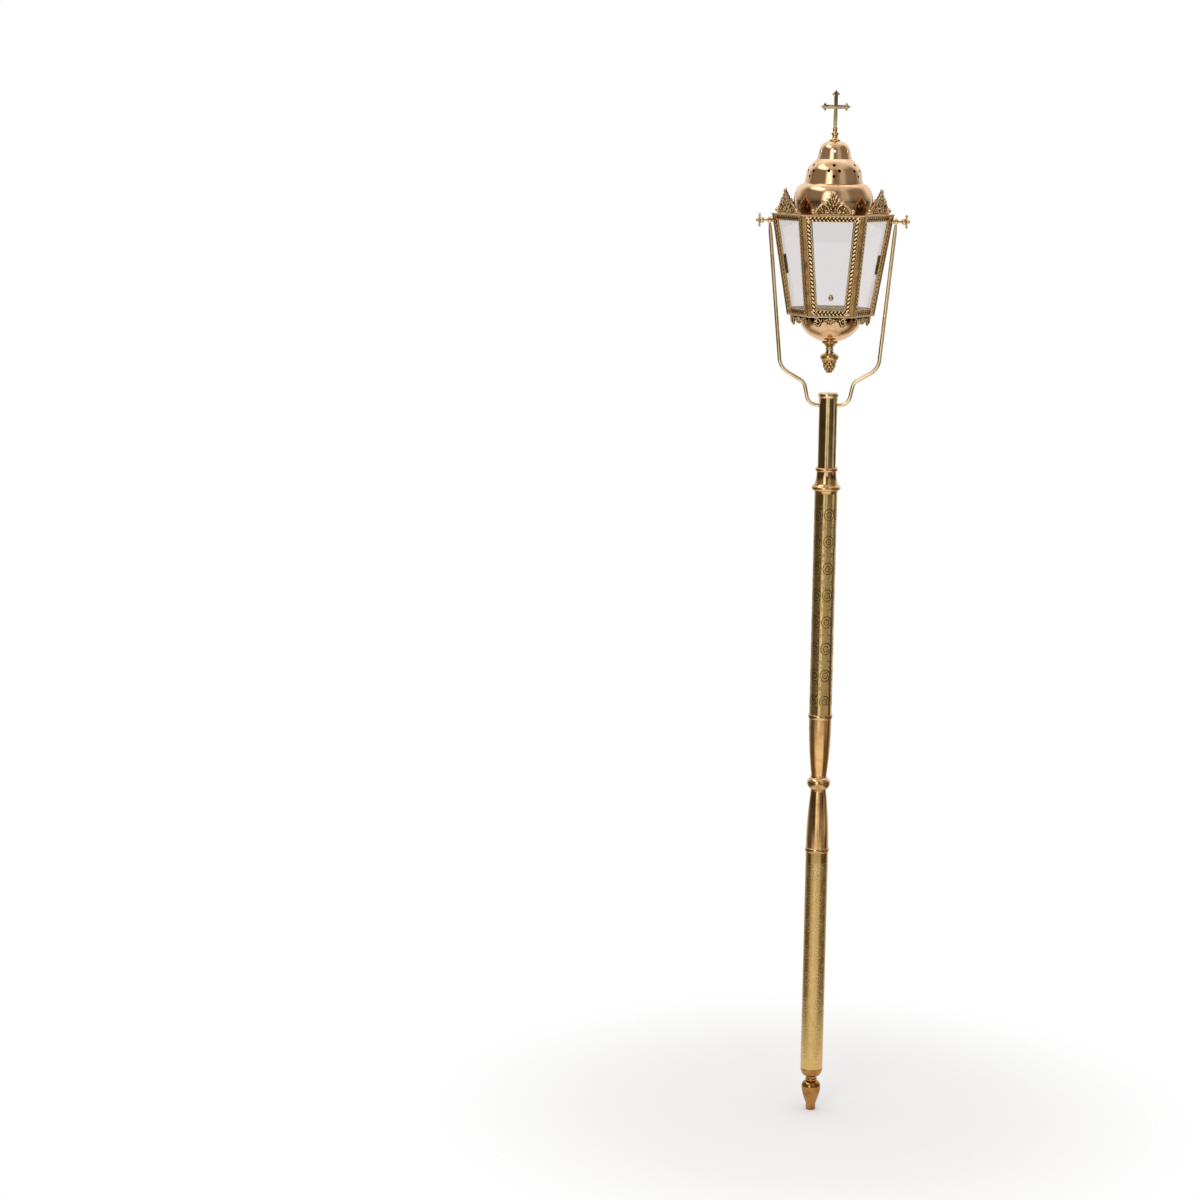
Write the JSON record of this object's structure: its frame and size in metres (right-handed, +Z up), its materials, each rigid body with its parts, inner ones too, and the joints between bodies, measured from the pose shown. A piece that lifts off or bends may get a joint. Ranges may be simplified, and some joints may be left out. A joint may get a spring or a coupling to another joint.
{
  "type": "processional lantern",
  "caption": "Hexagonal brass processional lantern with glass panes, tiered vented dome and cross, swinging in a forked yoke on a jointed engraved staff.",
  "frame": {"origin": "middle of the foot's tip, on the staff's axis", "axes": "+Z up along the staff, the sliding front pane towards -Y, the yoke's pivots on X"},
  "size_m": [0.2314, 0.1702, 1.5908],
  "materials": {
    "spun_brass": "spun and polished",
    "engraved_brass": "polished, engraved",
    "cast_brass": "cast, relief polished",
    "turned_brass": "turned and polished",
    "clear_glass": "clear sheet glass",
    "steel": "plain steel"
  },
  "bodies": {
    "root": {"foot_knob": "turned_brass", "foot_shoulder": "turned_brass", "lower_tube": "engraved_brass", "lower_ring": "turned_brass", "lower_taper": "spun_brass", "ball_knop": "turned_brass", "upper_taper": "spun_brass", "upper_ring": "turned_brass", "upper_tube": "engraved_brass", "tie_rod": "steel", "tie_nuts": "steel", "socket_collar": "turned_brass", "head_tube": "engraved_brass", "head_cap": "turned_brass", "yoke_block": "turned_brass", "yoke_grub_screws": "steel", "yoke_arm_left": "turned_brass", "yoke_arm_right": "turned_brass"},
    "lantern": {"floor_plate": "turned_brass", "roof_plate": "turned_brass", "corner_posts": "turned_brass", "glass_clips": "turned_brass", "frame_front": "cast_brass", "frame_front_right": "cast_brass", "frame_back_right": "cast_brass", "frame_back": "cast_brass", "frame_back_left": "cast_brass", "frame_front_left": "cast_brass", "pane_front_right": "clear_glass", "pane_back_right": "clear_glass", "pane_back": "clear_glass", "pane_back_left": "clear_glass", "pane_front_left": "clear_glass", "crest_front": "cast_brass", "crest_front_right": "cast_brass", "crest_back_right": "cast_brass", "crest_back": "cast_brass", "crest_back_left": "cast_brass", "crest_front_left": "cast_brass", "aprons": "cast_brass", "roof_dome": "spun_brass", "roof_middle": "spun_brass", "roof_cap": "spun_brass", "roof_nut": "steel", "cross_base": "turned_brass", "cross": "turned_brass", "bowl": "spun_brass", "bowl_nut": "steel", "candle_cup": "turned_brass", "finial_neck": "turned_brass", "finial_stud": "steel", "pinecone": "cast_brass", "pivot_bushes": "turned_brass"},
    "front_pane": {"pane_front": "clear_glass", "pane_knob": "turned_brass", "pane_knob_screw": "steel"},
    "thumbscrew_left": {"thumbscrew_left": "turned_brass"},
    "thumbscrew_right": {"thumbscrew_right": "turned_brass"}
  },
  "joints": [
    {"name": "lantern_swing", "type": "hinge", "parent": "root", "child": "lantern", "pos_m": [0, 0, 1.3968], "axis": [1, 0, 0], "range_deg": [-140, 140]},
    {"name": "front_pane_slide", "type": "slide", "parent": "lantern", "child": "front_pane", "axis": [0, -0.1456, 0.9893], "range_m": [0, 0.1]},
    {"name": "thumbscrew_left_turn", "type": "hinge", "parent": "lantern", "child": "thumbscrew_left", "pos_m": [-0.1, 0, 1.3968], "axis": [1, 0, 0], "continuous": true},
    {"name": "thumbscrew_right_turn", "type": "hinge", "parent": "lantern", "child": "thumbscrew_right", "pos_m": [0.1, 0, 1.3968], "axis": [1, 0, 0], "continuous": true}
  ]
}
